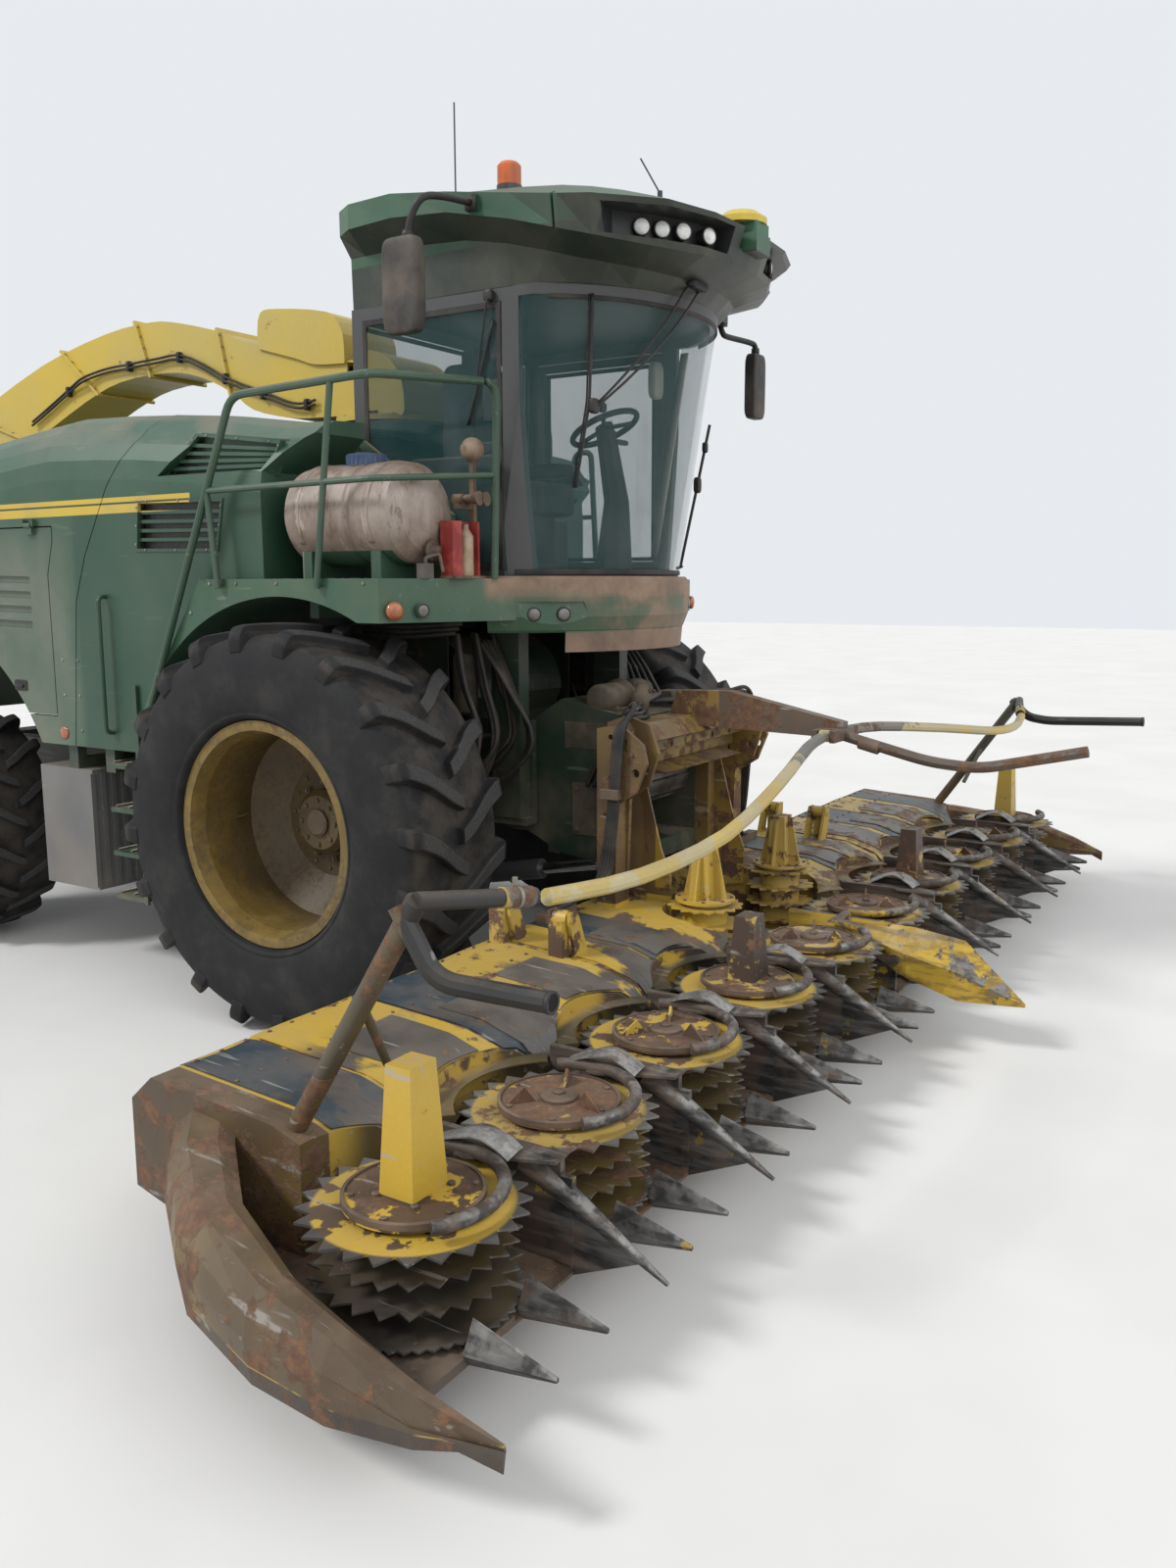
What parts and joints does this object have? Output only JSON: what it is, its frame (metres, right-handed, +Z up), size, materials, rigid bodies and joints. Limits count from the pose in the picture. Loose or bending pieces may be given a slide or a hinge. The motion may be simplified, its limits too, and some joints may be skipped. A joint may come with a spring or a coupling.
{
  "type": "forage harvester",
  "caption": "Self-propelled forage harvester with a wide folding rotary maize header, glazed cab, big front wheels, steered rear wheels and a swinging discharge spout.",
  "frame": {"origin": "on the ground under the middle of the machine's length and width, header and spout included", "axes": "+Z up, the machine drives towards -Y, its right side is -X"},
  "size_m": [7.8666, 8.646, 4.5353],
  "materials": {
    "green_paint": "faded dark green paint",
    "yellow_paint": "worn yellow paint with rust",
    "black_paint": "matt black paint",
    "rusty_steel": "rusty dark steel",
    "worn_steel": "worn bare steel",
    "rubber": "dusty black rubber",
    "glass": "tinted glass",
    "plastic": "black plastic",
    "tank_plastic": "dirty white plastic",
    "grey_metal": "grey paint"
  },
  "bodies": {
    "chassis": {"chassis_frame": "green_paint", "rear_axle": "green_paint", "engine_block": "grey_metal", "crop_housing": "green_paint", "platforms": "green_paint", "hood": "green_paint", "rear_body": "green_paint", "cab_frame": "black_paint", "cab_glass": "glass", "cab_roof": "green_paint", "cab_interior": "plastic", "mirrors": "plastic", "roof_fittings": "plastic", "handrails": "green_paint", "water_tank": "tank_plastic", "platform_fittings": "rusty_steel", "access_steps": "green_paint"},
    "front_wheel_right": {"rim_front_right": "yellow_paint", "tyre_front_right": "rubber"},
    "front_wheel_left": {"rim_front_left": "yellow_paint", "tyre_front_left": "rubber"},
    "knuckle_right": {"knuckle_right": "rusty_steel"},
    "rear_wheel_right": {"rim_rear_right": "yellow_paint", "tyre_rear_right": "rubber"},
    "knuckle_left": {"knuckle_left": "rusty_steel"},
    "rear_wheel_left": {"rim_rear_left": "yellow_paint", "tyre_rear_left": "rubber"},
    "door": {"cab_door": "black_paint", "door_glass": "glass"},
    "side_panel_right": {"side_panel_right": "green_paint"},
    "side_panel_left": {"side_panel_left": "green_paint"},
    "spout_turret": {"spout_turret": "yellow_paint"},
    "spout_arm": {"spout_arm": "yellow_paint"},
    "spout_flap": {"spout_flap": "yellow_paint"},
    "spout_ram_barrel": {"spout_ram_barrel": "black_paint"},
    "spout_ram_rod": {"spout_ram_rod": "worn_steel"},
    "header": {"feed_housing": "green_paint", "header_frame": "yellow_paint", "header_points": "worn_steel"},
    "lift_barrels": {"lift_barrels": "black_paint"},
    "lift_rods": {"lift_rods": "worn_steel"},
    "wing_right": {"wing_right": "yellow_paint", "wing_points_right": "worn_steel"},
    "guard_bar_right": {"guard_bar_right": "yellow_paint"},
    "wing_left": {"wing_left": "yellow_paint", "wing_points_left": "worn_steel"},
    "guard_bar_left": {"guard_bar_left": "yellow_paint"},
    "feed_drum_right": {"feed_drum_right": "yellow_paint"},
    "feed_drum_left": {"feed_drum_left": "yellow_paint"},
    "rotor_1": {"rotor_1": "yellow_paint"},
    "rotor_2": {"rotor_2": "yellow_paint"},
    "rotor_3": {"rotor_3": "yellow_paint"},
    "rotor_4": {"rotor_4": "yellow_paint"},
    "rotor_5": {"rotor_5": "yellow_paint"},
    "rotor_6": {"rotor_6": "yellow_paint"},
    "rotor_7": {"rotor_7": "yellow_paint"},
    "rotor_8": {"rotor_8": "yellow_paint"},
    "rotor_9": {"rotor_9": "yellow_paint"},
    "rotor_10": {"rotor_10": "yellow_paint"}
  },
  "joints": [
    {"name": "front_wheel_right_roll", "type": "hinge", "parent": "chassis", "child": "front_wheel_right", "pos_m": [-1.4, -0.836, 1.03], "axis": [1, 0, 0], "continuous": true},
    {"name": "front_wheel_left_roll", "type": "hinge", "parent": "chassis", "child": "front_wheel_left", "pos_m": [1.4, -0.836, 1.03], "axis": [1, 0, 0], "continuous": true},
    {"name": "steer_right", "type": "hinge", "parent": "chassis", "child": "knuckle_right", "pos_m": [-1, 2.364, 0.745], "axis": [0, 0, 1], "range_deg": [-32, 32]},
    {"name": "rear_wheel_right_roll", "type": "hinge", "parent": "knuckle_right", "child": "rear_wheel_right", "pos_m": [-1.35, 2.364, 0.745], "axis": [1, 0, 0], "continuous": true},
    {"name": "steer_left", "type": "hinge", "parent": "chassis", "child": "knuckle_left", "pos_m": [1, 2.364, 0.745], "axis": [0, 0, 1], "range_deg": [-32, 32]},
    {"name": "rear_wheel_left_roll", "type": "hinge", "parent": "knuckle_left", "child": "rear_wheel_left", "pos_m": [1.35, 2.364, 0.745], "axis": [1, 0, 0], "continuous": true},
    {"name": "cab_door_hinge", "type": "hinge", "parent": "chassis", "child": "door", "pos_m": [0.836, -1.674, 2.9], "axis": [0, 0, -1], "range_deg": [0, 80]},
    {"name": "side_panel_right_lift", "type": "hinge", "parent": "chassis", "child": "side_panel_right", "pos_m": [-1.5, 2.104, 2.575], "axis": [0, 1, 0], "range_deg": [0, 70]},
    {"name": "side_panel_left_lift", "type": "hinge", "parent": "chassis", "child": "side_panel_left", "pos_m": [1.5, 2.104, 2.575], "axis": [0, -1, 0], "range_deg": [0, 70]},
    {"name": "spout_slew", "type": "hinge", "parent": "chassis", "child": "spout_turret", "pos_m": [0, -0.286, 3.18], "axis": [0, 0, 1], "range_deg": [-95, 95]},
    {"name": "spout_lift", "type": "hinge", "parent": "spout_turret", "child": "spout_arm", "pos_m": [0, -0.136, 3.385], "axis": [1, 0, 0], "range_deg": [0, 25]},
    {"name": "spout_flap_tilt", "type": "hinge", "parent": "spout_arm", "child": "spout_flap", "pos_m": [0, 4.004, 3.29], "axis": [-1, 0, 0], "range_deg": [0, 50]},
    {"name": "spout_ram_tilt", "type": "hinge", "parent": "spout_turret", "child": "spout_ram_barrel", "pos_m": [0.29, -0.196, 3.25], "axis": [1, 0, 0], "range_deg": [-1, 23]},
    {"name": "spout_ram_stroke", "type": "slide", "parent": "spout_ram_barrel", "child": "spout_ram_rod", "axis": [0, 0.9983, 0.0579], "range_m": [-0.001, 0.053]},
    {"name": "header_lift", "type": "hinge", "parent": "chassis", "child": "header", "pos_m": [0, -1.456, 1.2], "axis": [-1, 0, 0], "range_deg": [-4, 16]},
    {"name": "lift_ram_tilt", "type": "hinge", "parent": "chassis", "child": "lift_barrels", "pos_m": [0, -1.116, 0.62], "axis": [-1, 0, 0], "range_deg": [-3, 10]},
    {"name": "lift_ram_stroke", "type": "slide", "parent": "lift_barrels", "child": "lift_rods", "axis": [0, -0.9822, 0.1881], "range_m": [-0.04, 0.14]},
    {"name": "wing_right_fold", "type": "hinge", "parent": "header", "child": "wing_right", "pos_m": [-1.5, -2.296, 0.8], "axis": [0, 1, 0], "range_deg": [0, 90]},
    {"name": "guard_bar_right_swing", "type": "hinge", "parent": "header", "child": "guard_bar_right", "pos_m": [-0.13, -3.116, 1.5], "axis": [0, 1, 0], "range_deg": [0, 90]},
    {"name": "wing_left_fold", "type": "hinge", "parent": "header", "child": "wing_left", "pos_m": [1.5, -2.296, 0.8], "axis": [0, -1, 0], "range_deg": [0, 90]},
    {"name": "guard_bar_left_swing", "type": "hinge", "parent": "header", "child": "guard_bar_left", "pos_m": [0.13, -3.116, 1.5], "axis": [0, -1, 0], "range_deg": [0, 90]},
    {"name": "feed_drum_right_spin", "type": "hinge", "parent": "header", "child": "feed_drum_right", "pos_m": [-0.47, -2.636, 0.5], "axis": [0, 0, 1], "continuous": true},
    {"name": "feed_drum_left_spin", "type": "hinge", "parent": "header", "child": "feed_drum_left", "pos_m": [0.47, -2.636, 0.5], "axis": [0, 0, 1], "continuous": true},
    {"name": "rotor_1_spin", "type": "hinge", "parent": "wing_right", "child": "rotor_1", "pos_m": [-3.375, -3.176, 0.5], "axis": [0, 0, 1], "continuous": true},
    {"name": "rotor_2_spin", "type": "hinge", "parent": "wing_right", "child": "rotor_2", "pos_m": [-2.625, -3.176, 0.5], "axis": [0, 0, 1], "continuous": true},
    {"name": "rotor_3_spin", "type": "hinge", "parent": "wing_right", "child": "rotor_3", "pos_m": [-1.875, -3.176, 0.5], "axis": [0, 0, 1], "continuous": true},
    {"name": "rotor_4_spin", "type": "hinge", "parent": "header", "child": "rotor_4", "pos_m": [-1.125, -3.176, 0.5], "axis": [0, 0, 1], "continuous": true},
    {"name": "rotor_5_spin", "type": "hinge", "parent": "header", "child": "rotor_5", "pos_m": [-0.375, -3.176, 0.5], "axis": [0, 0, 1], "continuous": true},
    {"name": "rotor_6_spin", "type": "hinge", "parent": "header", "child": "rotor_6", "pos_m": [0.375, -3.176, 0.5], "axis": [0, 0, 1], "continuous": true},
    {"name": "rotor_7_spin", "type": "hinge", "parent": "header", "child": "rotor_7", "pos_m": [1.125, -3.176, 0.5], "axis": [0, 0, 1], "continuous": true},
    {"name": "rotor_8_spin", "type": "hinge", "parent": "wing_left", "child": "rotor_8", "pos_m": [1.875, -3.176, 0.5], "axis": [0, 0, 1], "continuous": true},
    {"name": "rotor_9_spin", "type": "hinge", "parent": "wing_left", "child": "rotor_9", "pos_m": [2.625, -3.176, 0.5], "axis": [0, 0, 1], "continuous": true},
    {"name": "rotor_10_spin", "type": "hinge", "parent": "wing_left", "child": "rotor_10", "pos_m": [3.375, -3.176, 0.5], "axis": [0, 0, 1], "continuous": true}
  ],
  "couplings": [
    {"joint": "steer_left", "follows": "steer_right", "ratio": 1},
    {"joint": "lift_ram_tilt", "follows": "header_lift", "ratio": 0.53},
    {"joint": "lift_ram_stroke", "follows": "header_lift", "m_per_rad": 0.481},
    {"joint": "spout_ram_tilt", "follows": "spout_lift", "ratio": 0.874},
    {"joint": "spout_ram_stroke", "follows": "spout_lift", "m_per_rad": 0.115},
    {"joint": "guard_bar_right_swing", "follows": "wing_right_fold", "ratio": 1},
    {"joint": "guard_bar_left_swing", "follows": "wing_left_fold", "ratio": 1}
  ]
}
